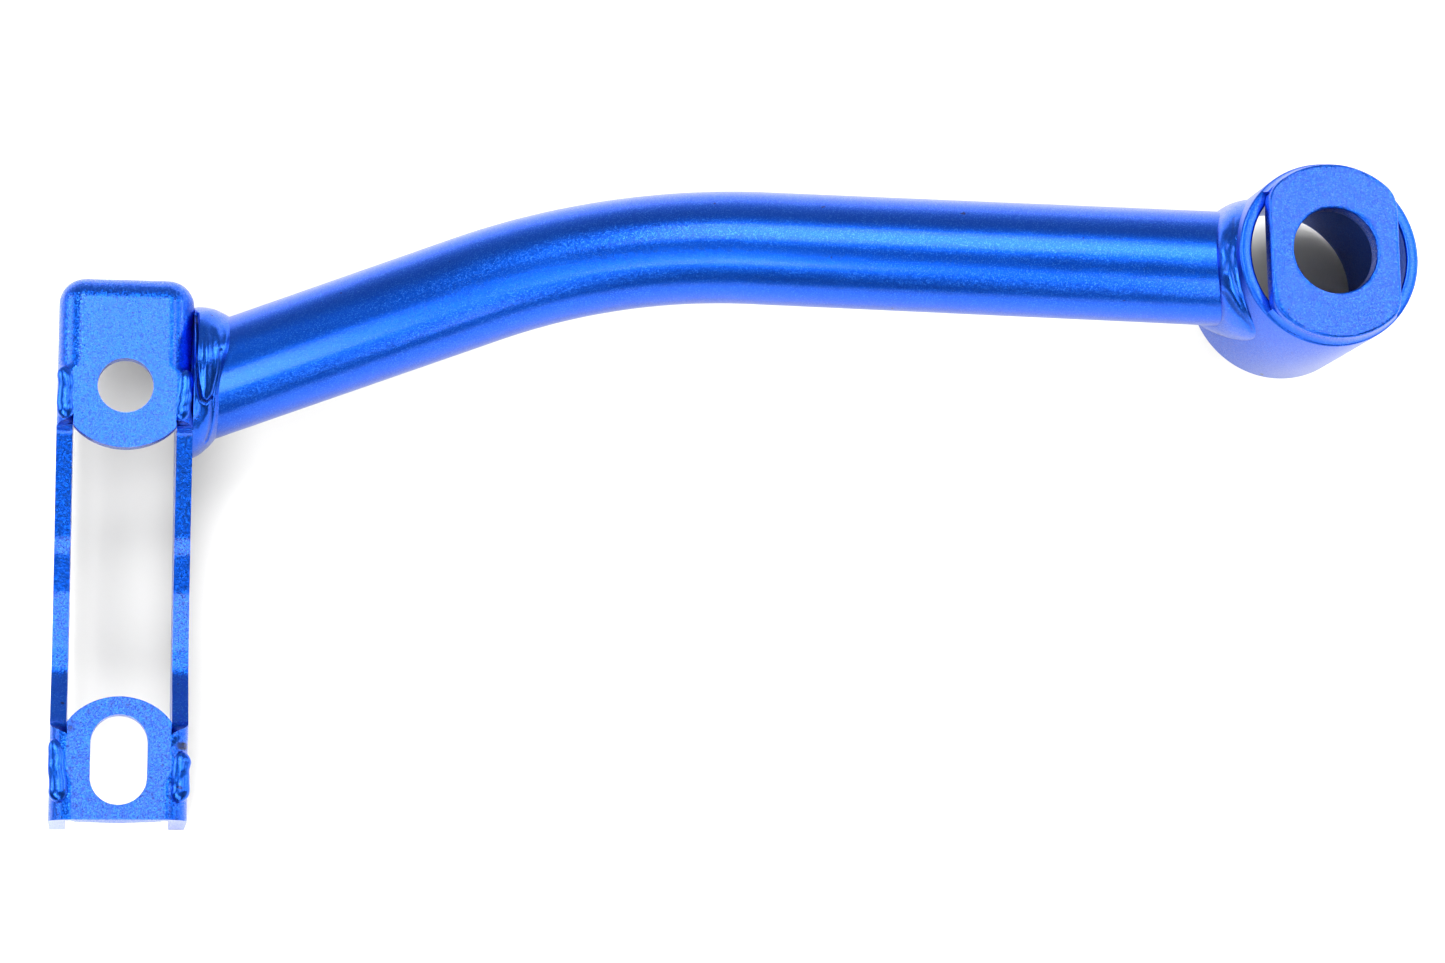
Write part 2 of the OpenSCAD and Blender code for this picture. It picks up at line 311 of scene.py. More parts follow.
bracket = {
    "halfWidth": 15.2, "length": 123.7, "depth": 31.5, "sheet": 3.6,
    "bendR": 5.8, "beadBendR": 3.8, "openBendR": 5.2, "cornerR": 6.0, "holeFromEnd": 25.5,
    "endEase": 0.5,
    "tongueR": 16.0, "tongueReach": 14.2, "holeR": 6.25, "rimR": 0.5, "uneven": 0.04,
}
pressLines = {"depth": 0.035, "halfWidth": 0.5, "lines": [(0.3, 1.0), (2.0, 0.7)]}  # X and share of depth
tab = {"tipR": 14.8, "reach": 14.0, "slotWidth": 12.5, "slotLength": 20.0, "sunk": 0.02}
bracketX = roundHole[0]
closedY = roundHole[1] + bracket["holeFromEnd"]
openY = closedY - bracket["length"] + bracket["endEase"]
halfInside = bracket["halfWidth"] - bracket["sheet"]
flangeX = bracketX + bracket["halfWidth"]
tongueTipY = roundHole[1] - bracket["tongueReach"]
tongueArcY = tongueTipY + bracket["tongueR"]
tabTipY = slotMiddle[1] + tab["reach"]
tabArcY = tabTipY - tab["tipR"]
armStartY = tongueArcY - math.sqrt(bracket["tongueR"] ** 2 - halfInside ** 2)
armEndY = tabArcY + math.sqrt(tab["tipR"] ** 2 - halfInside ** 2)
armLine = [
    # corners of the arms' upper edge, as Y and height below the top face
    (-28.4, 0.0), (-30.2, -4.6), (-53.4, -10.4), (-57.6, -10.6), (-66.0, -12.3), (-78.0, -12.5),
    (-84.5, -11.2), (-96.4, -4.0), (-98.4, 0.0),
]
beadEnds = {"closed": (-17.6, -15.6), "open": (-106.5, -110.5)}
# extra rows where the arms' edge is steep: from and to in Y, and how many
steepRows = {"closed": (-30.0, -28.0, 12), "armStart": (-30.4, -29.72, 6), "armEnd": (-98.8, -96.0, 15)}
pit = {
    "x": 14.2, "y": -101.7, "halfX": 1.9, "halfY": 1.15, "depth": 0.9, "inward": (0.5, 0.0, 0.85),
    "fadeFrom": 6.0, "fadeTo": 3.0,
}
smudges = [
    # place on the tab, half sizes and strength
    (-6.8, -94.3, 0.45, 0.4, 0.5), (-5.1, -93.4, 0.5, 0.4, 0.45), (-1.6, -92.3, 0.7, 0.5, 0.5),
    (1.7, -92.8, 0.7, 0.5, 0.45), (5.4, -93.2, 0.4, 0.5, 0.5), (8.9, -95.3, 0.5, 0.4, 0.4),
    (-10.6, -98.0, 0.9, 0.8, 0.6), (-8.4, -104.1, 0.6, 0.3, 0.4), (-10.4, -96.4, 0.4, 0.6, 0.4),
    (-1.7, -116.6, 0.4, 1.1, 0.4), (1.2, -116.4, 0.35, 1.2, 0.4), (4.5, -109.6, 0.3, 0.3, 0.4),
    (-6.3, -113.8, 0.3, 0.3, 0.4), (2.4, -95.0, 0.3, 0.3, 0.4), (-3.4, -94.9, 0.35, 0.3, 0.35),
]


def bendRadiusAt(y):
    # the pressing's outside bend is tighter where the beads fill it
    closed = smoothStep(y, *beadEnds["closed"])
    opened = smoothStep(-y, -beadEnds["open"][0], -beadEnds["open"][1])
    return (bracket["beadBendR"] + (bracket["bendR"] - bracket["beadBendR"]) * closed
            + (bracket["openBendR"] - bracket["beadBendR"]) * opened)


def armEdge(y):
    # height of the arms' upper edge: straight lines between its corners, averaged over a short length
    place, height = np.array(armLine[::-1]).T
    fine = np.linspace(place[0] - 3, place[-1] + 3, 800)
    ease = np.hanning(25)
    eased = np.convolve(np.interp(fine, place, height), ease / ease.sum(), "same")
    eased[:12] = 0
    return np.interp(y, fine, eased)


def unrolled(height, bendR):
    # length down the sheet's outside from the bend's start to a height below the top face
    onBend = bendR * np.arccos(np.clip(1 + height / bendR, 0, 1))
    return np.where(height > -bendR, onBend, bendR * math.pi / 2 - bendR - height)


def downTheSheet(base, outward, bendR, length):
    # a point that far down the sheet: round the bend's arc first, then straight down the wall
    turn = np.clip(length / bendR, 0, math.pi / 2)
    wall = np.maximum(length - bendR * math.pi / 2, 0)
    flat = base + outward * (bendR * np.sin(turn))[..., None]
    return np.concatenate([flat, (topFace - bendR * (1 - np.cos(turn)) - wall)[..., None]], -1)


def wallGrid(base, outward):
    # rows down the sheet from the web's edge or the dipped upper edge to the foot, closest in the bend
    share = np.concatenate([np.linspace(0, 0.25, 13)[:-1], np.linspace(0.25, 1, 15)])
    bendR = bendRadiusAt(base[:, 1])[:, None]
    begin = unrolled(armEdge(base[:, 1:]), bendR)
    length = begin + (unrolled(-bracket["depth"], bendR) - begin) * share
    return downTheSheet(base[:, None], outward[:, None], bendR + 0 * share, length)


def spotField(x, y, spots):
    # the strongest of several soft round spots
    field = 0 * x
    for spotX, spotY, halfX, halfY, strength in spots:
        away = ((x - spotX) / halfX) ** 2 + ((y - spotY) / halfY) ** 2
        field = np.maximum(field, strength * np.exp(-away))
    return field


def ringToLoop(innerLoop, outerLoop, rows):
    # straight lines from matched points of one loop to the other
    return innerLoop + np.linspace(0, 1, rows)[:, None, None] * (outerLoop - innerLoop)


def tipArc(radius, middleY, reachX, endY, facing, steps):
    # round tip from one bend line to the other, stretched so that it starts and ends at the given height
    start = math.asin(reachX / radius)
    turn = np.linspace(-start, start, steps)[1:-1]
    stretch = abs(middleY - endY) / (radius * math.cos(start))
    y = middleY + facing * radius * np.cos(turn) * (1 + (stretch - 1) * np.abs(turn / start) ** 8)
    return np.stack([radius * np.sin(turn), y], -1)


def closedEndSkin():
    # bend lines from the arms round the closed end, and the web between them, the tongue's tip and the hole
    half, cornerR, bendR = bracket["halfWidth"], bracket["cornerR"], bracket["bendR"]
    even = np.linspace(armStartY, closedY - cornerR, 46)
    sideY = np.unique(np.concatenate([even, np.linspace(*steepRows["closed"])]))
    sideY = sideY[sideY >= armStartY]
    turn = np.radians(np.linspace(0, 90, 10))
    swing = np.stack([np.cos(turn), np.sin(turn)], -1)
    right = np.stack([half - bendRadiusAt(sideY), sideY], -1)
    corner = np.array([half - cornerR, closedY - cornerR]) + (cornerR - bendR) * swing
    endX = np.linspace(half - cornerR, 0, 14)
    endLine = np.stack([endX, 0 * endX + closedY - bendR], -1)
    base = np.concatenate([right, corner[1:], endLine[1:]])
    outward = np.concatenate([
        np.tile([1.0, 0.0], (len(right), 1)), swing[1:], np.tile([0.0, 1.0], (len(endLine) - 1, 1))])
    mirror = np.array([-1.0, 1.0])
    base = np.concatenate([base, base[-2::-1] * mirror])
    outward = np.concatenate([outward, outward[-2::-1] * mirror])
    tip = tipArc(bracket["tongueR"], tongueArcY, base[0, 0], armStartY, -1, 42)
    loop = np.concatenate([base, tip])
    ray = loop - [0.0, roundHole[1]]
    hole = [0.0, roundHole[1]] + bracket["holeR"] * ray / np.linalg.norm(ray, axis=-1, keepdims=True)
    web = ringToLoop(hole, loop, 20)
    x, y = web[..., 0], web[..., 1]
    fromEdge = 1 - np.linspace(0, 1, 20)[:, None]
    lines = 0
    for lineX, share in pressLines["lines"]:
        lines = lines + share * np.exp(-((x - lineX) / pressLines["halfWidth"]) ** 2)
    press = pressLines["depth"] * lines * smoothStep(y, -9, -6) * smoothStep(-y, 0, 2)
    dip = press - bracket["uneven"] * wobble(x * 0.25, y * 0.25, 11) * fromEdge
    return np.concatenate([web, (topFace - dip)[..., None]], -1), wallGrid(base, outward)


def slotReach(cosine, sine):
    # from the slot's middle to its edge: two half circles joined by straights
    slotR = tab["slotWidth"] / 2
    straight = (tab["slotLength"] - tab["slotWidth"]) / 2
    toEnd = straight * np.abs(sine) + np.sqrt(np.maximum(slotR ** 2 - (straight * cosine) ** 2, 0))
    toFlat = slotR / np.maximum(np.abs(cosine), 1e-4)
    return np.where(np.abs(toFlat * sine) < straight, toFlat, toEnd)


def armAndTabSkin():
    # both arms with the walls under the tab, and the tab's web: bend lines, open end, round tip and slot
    half = bracket["halfWidth"]
    armY = np.unique(np.concatenate([
        np.linspace(armStartY, armEndY, 100), np.linspace(*steepRows["armStart"]),
        np.linspace(*steepRows["armEnd"])]))[::-1]
    armY = armY[(armY <= armStartY) & (armY >= armEndY)]
    steepEnd = steepRows["armEnd"][0]
    tabY = np.concatenate([np.linspace(armEndY, steepEnd, 13), np.linspace(steepEnd, openY, 60)[1:]])
    allY = np.concatenate([armY, tabY[1:]])
    pitSpot = [(pit["x"], pit["y"], pit["halfX"], pit["halfY"], 1.0)]
    walls, marks = [], []
    for side in (1.0, -1.0):
        base = np.stack([side * (half - bendRadiusAt(allY)), allY], -1)
        grid = wallGrid(base, np.tile([side, 0.0], (len(allY), 1)))
        spot = spotField(grid[..., 0], grid[..., 1], pitSpot)
        upper = smoothStep(grid[..., 2], topFace - pit["fadeFrom"], topFace - pit["fadeTo"])
        hollow = (side > 0) * spot * upper
        grid = grid - pit["depth"] * hollow[..., None] * pit["inward"]
        walls.append(grid)
        mottle = 0.85 + 0.15 * wobble(grid[..., 1] * 4, grid[..., 0] * 4, 5)
        # painted shade: the pit's deepest part is darkened, mottled a little
        marks.append(smoothStep(hollow, 0.35, 0.75) * mottle)
    side = np.stack([half - bendRadiusAt(tabY), tabY], -1)
    endX = np.linspace(side[-1, 0], -side[-1, 0], 26)[1:-1]
    tip = tipArc(tab["tipR"], tabArcY, side[0, 0], armEndY, 1, 44)
    loop = np.concatenate([
        side, np.stack([endX, 0 * endX + openY], -1), side[::-1] * [-1.0, 1.0], tip])
    ray = loop - [0.0, slotMiddle[1]]
    ray = ray / np.linalg.norm(ray, axis=-1, keepdims=True)
    slot = [0.0, slotMiddle[1]] + slotReach(ray[:, 0], ray[:, 1])[:, None] * ray
    web = ringToLoop(slot, loop, 24)
    fromEdge = 1 - np.linspace(0, 1, 24)[:, None]
    dip = tab["sunk"] + bracket["uneven"] * wobble(web[..., 0] * 0.3, web[..., 1] * 0.3, 13) * fromEdge
    web = np.concatenate([web, (topFace - dip)[..., None]], -1)
    web[-1, :, 2] = topFace
    return web, walls, spotField(web[..., 0], web[..., 1], smudges), marks


def makeBracket():
    # outer skin of the pressing; Solidify gives the sheet its thickness and Bevel eases the cut edges
    endWeb, endWalls = closedEndSkin()
    tabWeb, armWalls, tabMarks, armMarks = armAndTabSkin()
    grids = [(endWeb, True), (endWalls, False), (tabWeb, True), (armWalls[0], False), (armWalls[1], False)]
    parts = [(grid + [bracketX, 0, 0], False, closed) for grid, closed in grids]
    marks = [0 * endWeb[..., 0], 0 * endWalls[..., 0], tabMarks, *armMarks]
    piece = meshPiece("pressedBracket", "pressed_bracket", parts, plateCoat, marks, 60)
    sheet = piece.modifiers.new("sheet", "SOLIDIFY")
    sheet.thickness = bracket["sheet"] / mmPerMetre
    sheet.offset = -1.0
    sheet.use_even_offset = True
    eased = piece.modifiers.new("eased", "BEVEL")
    eased.width = bracket["rimR"] / mmPerMetre
    eased.segments = 3
    eased.limit_method = "ANGLE"
    eased.angle_limit = math.radians(50)
    eased.harden_normals = True


sleeve = {"outerR": 20.5, "wall": 2.8, "height": 36.0, "rimR": 0.6}


def roundedBar(low, high, bottom, top, radius, steps=5):
    # closed outline of a bar's section: straight sides and a quarter circle at each corner
    corners = [(high - radius, top - radius, 0), (low + radius, top - radius, 90),
               (low + radius, bottom + radius, 180), (high - radius, bottom + radius, 270)]
    outline = []
    for x, z, begin in corners:
        turn = np.radians(begin + np.linspace(0, 90, steps))
        outline.append(np.stack([x + radius * np.cos(turn), z + radius * np.sin(turn)], -1))
    return np.concatenate(outline)


def makeSleeve():
    # its wall's section turned round the upright axis
    inner, outer = sleeve["outerR"] - sleeve["wall"], sleeve["outerR"]
    outline = roundedBar(inner, outer, 0, sleeve["height"], sleeve["rimR"])
    turn = np.linspace(0, 2 * math.pi, 145)[:-1, None]
    grid = np.stack([outline[:, 0] * np.cos(turn), outline[:, 0] * np.sin(turn),
                     outline[:, 1] + 0 * turn], -1)
    meshPiece("uprightSleeve", "sleeve", [(grid, True, True)], tubeCoat)


def ringPlate(innerLoop, outerLoop, bottom, top, edgeIn, edgeOut, faceSteps=12, edgeSteps=5):
    # closed plate between two loops of matched points: distance from the inner loop against height,
    # with the four edges rounded, carried round the loops
    span = outerLoop - innerLoop
    length = np.linalg.norm(span, axis=-1)
    outward = span / length[:, None]
    turn = np.linspace(0, math.pi / 2, edgeSteps)[:, None]
    sine, cosine = np.sin(turn), np.cos(turn)
    across = np.linspace(0, 1, faceSteps)[1:-1, None]
    face = edgeIn + across * (length - edgeIn - edgeOut)
    distance = np.concatenate([
        edgeIn * (1 - cosine) + 0 * length, face, length - edgeOut * (1 - sine),
        length - edgeOut * (1 - cosine), face[::-1], edgeIn * (1 - sine) + 0 * length])
    height = np.concatenate([
        top - edgeIn * (1 - sine), top + 0 * across, top - edgeOut * (1 - cosine),
        bottom + edgeOut * (1 - sine), bottom + 0 * across, bottom + edgeIn * (1 - cosine)])
    flat = innerLoop + distance[..., None] * outward
    return np.concatenate([flat, np.broadcast_to(height[..., None], distance.shape + (1,))], -1)


def loopAngles(corners, steps):
    # evenly spread directions round a loop, with the given corner directions among them
    even = np.linspace(-math.pi, math.pi, steps + 1)[:-1]
    return np.unique(np.round(np.concatenate([even, corners]), 5))


endPlate = {
    "outerR": 19.45, "flats": 29.5, "holeR": 9.5, "edge": 0.7, "holeEdge": 0.5, "cornerEase": 20.0,
    "ripple": 0.05, "sunk": 0.06,
}


def makeEndPlate():
    # reach in each direction is the smaller of the disc's radius and the flat's distance, eased at corners
    corner = math.acos(endPlate["flats"] / 2 / endPlate["outerR"])
    corners = [corner, -corner, math.pi - corner, corner - math.pi]
    near = np.concatenate([np.array(corners) + step for step in np.linspace(-0.2, 0.2, 21)])
    angle = loopAngles(near, 180)
    flat = endPlate["flats"] / 2 / np.maximum(np.abs(np.cos(angle)), 1e-3)
    ease = endPlate["cornerEase"]
    reach = (endPlate["outerR"] ** -ease + flat ** -ease) ** (-1 / ease)
    ray = np.stack([np.cos(angle), np.sin(angle)], -1)
    thick = (sleeve["height"], 2 * plateMiddle[2] - sleeve["height"])
    edges = (endPlate["holeEdge"], endPlate["edge"])
    grid = ringPlate(endPlate["holeR"] * ray, reach[:, None] * ray, *thick, *edges)
    top = grid[..., 2] > thick[1] - 0.05
    ripple = endPlate["ripple"] * wobble(grid[..., 0] * 0.3, grid[..., 1] * 0.3, 3) - endPlate["sunk"]
    grid[..., 2] += np.where(top, ripple, 0)
    meshPiece("flattedPlate", "end_plate", [(grid, True, True)], plateCoat)


tube = {
    "outerR": 12.7, "wall": 2.0, "bendR": 175.0,
    "start": (0.0, -1.2, 23.5), "corner": (-150.0, 11.6, -20.0),
    "endDrop": 15.0, "endShift": 2.6, "ovality": 0.012, "embed": 0.5,
}


def unit(vector):
    return vector / np.linalg.norm(vector)


tubeStart = np.array(tube["start"])
tubeCorner = np.array(tube["corner"])
tubeEnd = np.array([flangeX, roundHole[1] + tube["endShift"], topFace - tube["endDrop"]])
legBack = unit(tubeStart - tubeCorner)
legOn = unit(tubeEnd - tubeCorner)
bendAxis = unit(np.cross(legBack, legOn))
bendInward = np.cross(bendAxis, legBack)
bendTurn = math.pi - math.acos(float(legBack @ legOn))
bendTangent = tube["bendR"] * math.tan(bendTurn / 2)
bendInwardEnd = math.sin(bendTurn) * legBack + math.cos(bendTurn) * bendInward


def sleeveCope(ringPoints, radius):
    # distance along the first leg at which a line parallel to it leaves a cylinder round the sleeve's axis
    flat, leg = ringPoints[..., :2], legBack[:2]
    along = flat @ leg
    size = leg @ leg
    return (along + np.sqrt(along ** 2 - size * ((flat ** 2).sum(-1) - radius ** 2))) / size


def ringAt(middle, inward, radius, angles):
    return middle + radius * (np.cos(angles)[..., None] * inward + np.sin(angles)[..., None] * bendAxis)


def tubeWall(radius, angles, startR, endX, legSteps, arcSteps):
    # a ring of lines: straight from the cope at the sleeve, round the bend, straight on to the bracket
    first = ringAt(tubeStart, bendInward, radius, angles)
    firstEnd = ringAt(tubeCorner + bendTangent * legBack, bendInward, radius, angles)
    cope = first - sleeveCope(first, startR)[..., None] * legBack
    along = np.linspace(0, 1, legSteps)[:, None, None]
    leg1 = cope + along * (firstEnd - cope)
    turn = np.linspace(0, bendTurn, arcSteps)[1:-1, None]
    arcMiddle = tubeCorner + bendTangent * legBack + tube["bendR"] * (
        (1 - np.cos(turn)) * bendInward - np.sin(turn) * legBack)
    arcInward = np.sin(turn) * legBack + np.cos(turn) * bendInward
    squeeze = 1 - tube["ovality"] * np.sin(turn / bendTurn * math.pi)
    inwardPart = squeeze[..., None] * np.cos(angles)[:, None] * arcInward[:, None]
    arc = arcMiddle[:, None] + radius * (inwardPart + np.sin(angles)[:, None] * bendAxis)
    second = ringAt(tubeCorner + bendTangent * legOn, bendInwardEnd, radius, angles)
    reach = (endX - second[:, 0]) / legOn[0]
    leg2 = second + along * reach[:, None] * legOn
    return np.concatenate([leg1, arc, leg2])


def makeTube():
    # outer and inner wall joined at both ends, each end a little inside the piece it is welded to
    angles = np.linspace(0, 2 * math.pi, 121)[:-1]
    startR, endX = sleeve["outerR"] - tube["embed"], flangeX - tube["embed"]
    outer = tubeWall(tube["outerR"], angles, startR, endX, 70, 42)
    inner = tubeWall(tube["outerR"] - tube["wall"], angles, startR, endX, 12, 22)
    shell = np.concatenate([outer, inner[::-1]])
    meshPiece("bentTube", "main_tube", [(shell, True, True)], tubeCoat)


def roundTube(around, across, scale):
    # a place on the tube's circle, shifted by the place across the weld, for noise that closes on itself
    return (scale * (tube["outerR"] * np.cos(around) + 0.7 * across),
            scale * (tube["outerR"] * np.sin(around) - 0.6 * across))


def upSide(around):
    # mm round the tube from its upper line, positive towards -Y
    return tube["outerR"] * (np.mod(around - math.pi / 2, 2 * math.pi) - math.pi)


def crease(first, second, path, width):
    # 1 on a broken line through the given points, falling away beside it
    nearest = np.full(np.broadcast(first, second).shape, 1e6)
    for (x0, y0), (x1, y1) in zip(path[:-1], path[1:]):
        runX, runY = x1 - x0, y1 - y0
        along = ((first - x0) * runX + (second - y0) * runY) / (runX ** 2 + runY ** 2)
        along = np.clip(along, 0, 1)
        nearest = np.minimum(nearest, np.hypot(first - x0 - along * runX, second - y0 - along * runY))
    return np.exp(-(nearest / width) ** 2)


sleeveWeld = {
    "height": 3.0, "width": 3.7, "embed": 0.6, "uneven": 0.14, "lump": 0.36, "fine": 0.03,
    "creaseShade": 0.3,
    # creases: mm round the tube against mm from the sleeve's wall, then width and depth
    "creases": [
        ([(-3.0, 1.0), (3.0, 1.1), (9.0, 0.9), (13.0, 0.8)], 0.6, 0.22),
        ([(-6.0, 2.2), (-1.0, 1.8), (1.0, 2.6)], 0.7, 0.16),
        ([(5.5, 3.0), (8.5, 2.2), (11.0, 1.2)], 0.8, 0.18),
        ([(-10.0, 1.4), (-6.0, 1.0), (-3.0, 0.9)], 0.6, 0.12),
    ],
}


def makeSleeveWeld():
    # a quarter ellipse from the sleeve's wall to the tube, carried round the tube, with lumps and creases
    around = np.linspace(0, 2 * math.pi, 421)[:-1, None]
    phi = np.radians(np.linspace(-6, 96, 40))[None]
    height, width, embed = sleeveWeld["height"], sleeveWeld["width"], sleeveWeld["embed"]
    uneven = 1 + sleeveWeld["uneven"] * wobble(*roundTube(around, 0, 0.16), 21)
    out = width * uneven * np.sin(phi)
    up = height * uneven * np.cos(phi)
    lump = sleeveWeld["lump"] * wobble(*roundTube(around, out, 0.4), 31, low=0.5, high=1.2)
    fine = sleeveWeld["fine"] * wobble(*roundTube(around, 2.2 * out, 1.3), 32, low=0.7, high=1.8)
    folds, deepest = 0 * out, 0 * out
    for path, size, depth in sleeveWeld["creases"]:
        line = crease(upSide(around), out, path, size)
        folds = folds + depth * line
        deepest = np.maximum(deepest, line)
    swell = (lump + fine - folds) * np.clip(np.sin(2 * np.clip(phi, 0, math.pi / 2)), 0, 1) ** 0.6
    up = np.maximum(up + swell * np.cos(phi), -embed)
    out = np.maximum(out + swell * np.sin(phi), -embed)
    under = np.full((len(around), 1), -embed)
    up = np.concatenate([up, under], 1)
    out = np.concatenate([out, under], 1)
    ring = tubeStart + (tube["outerR"] + up)[..., None] * (
        np.cos(around)[..., None] * bendInward + np.sin(around)[..., None] * bendAxis)
    grid = ring - (sleeveCope(ring, sleeve["outerR"]) + out)[..., None] * legBack
    # painted shade: the weld's skin is darkened along its deepest creases
    mark = np.concatenate([sleeveWeld["creaseShade"] * smoothStep(deepest, 0.6, 1.0), under * 0], 1)
    meshPiece("sleeveWeld", "sleeve_weld", [(grid, True, True)], weldCoat, [mark], 70)


bracketWeld = {
    "topHeight": 4.4, "lowHeight": 2.4, "topWidth": 8.4, "lowWidth": 6.0, "embed": 0.6,
    "uneven": 0.06, "bulge": 0.9, "hollow": 0.25, "fine": 0.03, "lobe": 0.12,
    "rough": 0.22, "roughFrom": -9.0, "roughTo": 4.0,
    # creases: mm round the tube against mm from the bracket's wall, then width, depth and darkness of the
    # painted shade along them
    "creases": [
        ([(-13.0, 0.5), (-8.0, 0.7), (-3.0, 0.5), (1.0, 0.9), (4.0, 1.8), (5.0, 3.2), (4.6, 4.4)],
         0.34, 0.7, 0.8),
        ([(4.6, 4.4), (8.0, 4.6), (12.0, 4.3), (15.0, 3.6)], 0.45, 0.4, 0.25),
        ([(-4.0, 6.3), (0.0, 5.9), (4.0, 4.8)], 0.4, 0.3, 0.3),
    ],
}


def makeBracketWeld():
    # slopes from its height at the bracket's wall down to the tube; only the upper side is rough
    around = np.linspace(0, 2 * math.pi, 421)[:-1, None]
    share = np.linspace(0, 1.04, 44)[None]
    place, embed = upSide(around), bracketWeld["embed"]
    high = smoothStep(-place, -5.0, 7.0) * smoothStep(place, -34.0, -22.0)
    height = bracketWeld["lowHeight"] + (bracketWeld["topHeight"] - bracketWeld["lowHeight"]) * high
    width = bracketWeld["lowWidth"] + (bracketWeld["topWidth"] - bracketWeld["lowWidth"]) * high
    uneven = 1 + bracketWeld["uneven"] * wobble(*roundTube(around, 0, 0.2), 45)
    out = width * uneven * share
    fullness = 1 + bracketWeld["bulge"] * share - bracketWeld["hollow"] * high * share
    up = height * uneven * (1 - share) * fullness
    roughZone = smoothStep(place, bracketWeld["roughFrom"] - 2, bracketWeld["roughFrom"] + 1.5) * (
        1 - smoothStep(place, bracketWeld["roughTo"] - 1.5, bracketWeld["roughTo"] + 1.5))
    rough = bracketWeld["rough"] * wobble(place * 0.5, out * 1.7, 51, waves=8, low=0.6, high=1.6)
    fine = bracketWeld["fine"] * wobble(*roundTube(around, 1.5 * out, 1.0), 52, low=0.7, high=1.8)
    lobe = bracketWeld["lobe"] * wobble(*roundTube(around, out, 0.3), 53)
    folds, dark = 0 * out, 0 * out
    for path, size, depth, darkness in bracketWeld["creases"]:
        line = crease(place, out, path, size)
        folds = folds + depth * line
        dark = np.maximum(dark, darkness * smoothStep(line, 0.5, 1.0))
    edge = smoothStep(share, 0.0, 0.12) * (1 - smoothStep(share, 0.85, 1.0))
    up = np.maximum(up + (rough * roughZone + fine + lobe) * edge - folds * np.clip(up, 0, 1), -embed)
    under = np.full((len(around), 1), -embed)
    up = np.concatenate([up, under], 1)
    out = np.concatenate([out, under], 1)
    wallEnd = tubeCorner + bendTangent * legOn
    ring = wallEnd + (tube["outerR"] + up)[..., None] * (
        np.cos(around)[..., None] * bendInwardEnd + np.sin(around)[..., None] * bendAxis)
    reach = (flangeX - ring[..., 0]) / legOn[0]
    grid = ring + (reach - out)[..., None] * legOn
    # painted shade: the weld's skin is darkened along its creases, by each crease's darkness
    mark = np.concatenate([dark, under * 0], 1)
    meshPiece("bracketWeld", "bracket_weld", [(grid, True, True)], weldCoat, [mark], 70)


beads = [
    # name, node, side, from and to in Y, middle's distance from the centreline at both, radius at both,
    # folds as place in Y, slant, width and depth, seed
    ("tongueBeadLeft", "tongue_weld_left", -1.0, (-28.4, -16.2), (13.0, 13.4), (1.95, 1.8),
     [(-24.6, 1.2, 0.9, 0.1), (-21.6, -1.4, 1.1, 0.08)], 61),
    ("tongueBeadRight", "tongue_weld_right", 1.0, (-28.4, -16.4), (12.6, 13.5), (2.0, 1.75),
     [(-25.6, 1.3, 0.8, 0.12), (-22.8, 1.5, 0.8, 0.1)], 82),
    ("tabBeadLeft", "tab_weld_left", -1.0, (-114.4, -100.3), (12.8, 13.8), (2.3, 1.6),
     [(-104.2, 1.5, 1.1, 0.1), (-109.2, -1.8, 1.3, 0.07)], 103),
    ("tabBeadRight", "tab_weld_right", 1.0, (-114.4, -102.9), (13.2, 13.8), (2.1, 1.95),
     [(-105.2, -1.6, 1.0, 0.08), (-109.4, 2.0, 1.1, 0.12)], 124),
]
beadShape = {
    "wide": 1.05, "flat": 0.82, "sink": 0.95, "endR": 2.8, "lump": 0.08, "fine": 0.012, "drift": 0.2,
    "foldShade": 0.1,
}


def makeSeamBead(name, node, side, span, middles, radii, folds, seed):
    # an oval rod along Y with rounded ends; lumps and slanting folds change its radius
    y = span[0] + (span[1] - span[0]) * (0.5 - 0.5 * np.cos(np.linspace(0, math.pi, 130)))[:, None]
    angle = np.linspace(0, 2 * math.pi, 61)[None, :-1]
    share = (y - span[0]) / (span[1] - span[0])
    fromEnd = np.clip(np.minimum(y - span[0], span[1] - y) / beadShape["endR"], 0, 1)
    taper = np.sqrt(np.clip(1 - (1 - fromEnd) ** 2, 0, 1))
    lump = beadShape["lump"] * wobble(y * 0.45, 1.2 * np.cos(angle), seed)
    fine = beadShape["fine"] * wobble(y * 1.3, 2.2 * np.cos(angle), seed + 1)
    fold, dark = 0 * y * angle, 0 * y * angle
    for place, slant, width, depth in folds:
        line = np.exp(-((y - place - slant * np.cos(angle)) / width) ** 2)
        fold = fold + depth * line
        dark = np.maximum(dark, line)
    radius = (radii[0] + (radii[1] - radii[0]) * share + lump + fine - fold) * taper
    drift = beadShape["drift"] * wobble(y * 0.55, 0 * y + 3, seed + 9)
    middle = side * (middles[0] + (middles[1] - middles[0]) * share) + drift
    x = bracketX + middle + radius * beadShape["wide"] * np.cos(angle)
    z = topFace - beadShape["sink"] + beadShape["flat"] * radius * np.sin(angle)
    grid = np.stack([x, y + 0 * angle, z], -1)
    # painted shade: the bead's skin is darkened in its folds
    mark = beadShape["foldShade"] * dark
    meshPiece(name, node, [(grid, False, True)], weldCoat, [mark], 70)


plateFillet = {"height": 2.4, "uneven": 0.12, "embed": 0.3, "short": 0.06, "inset": 0.1, "hollow": 1.4}


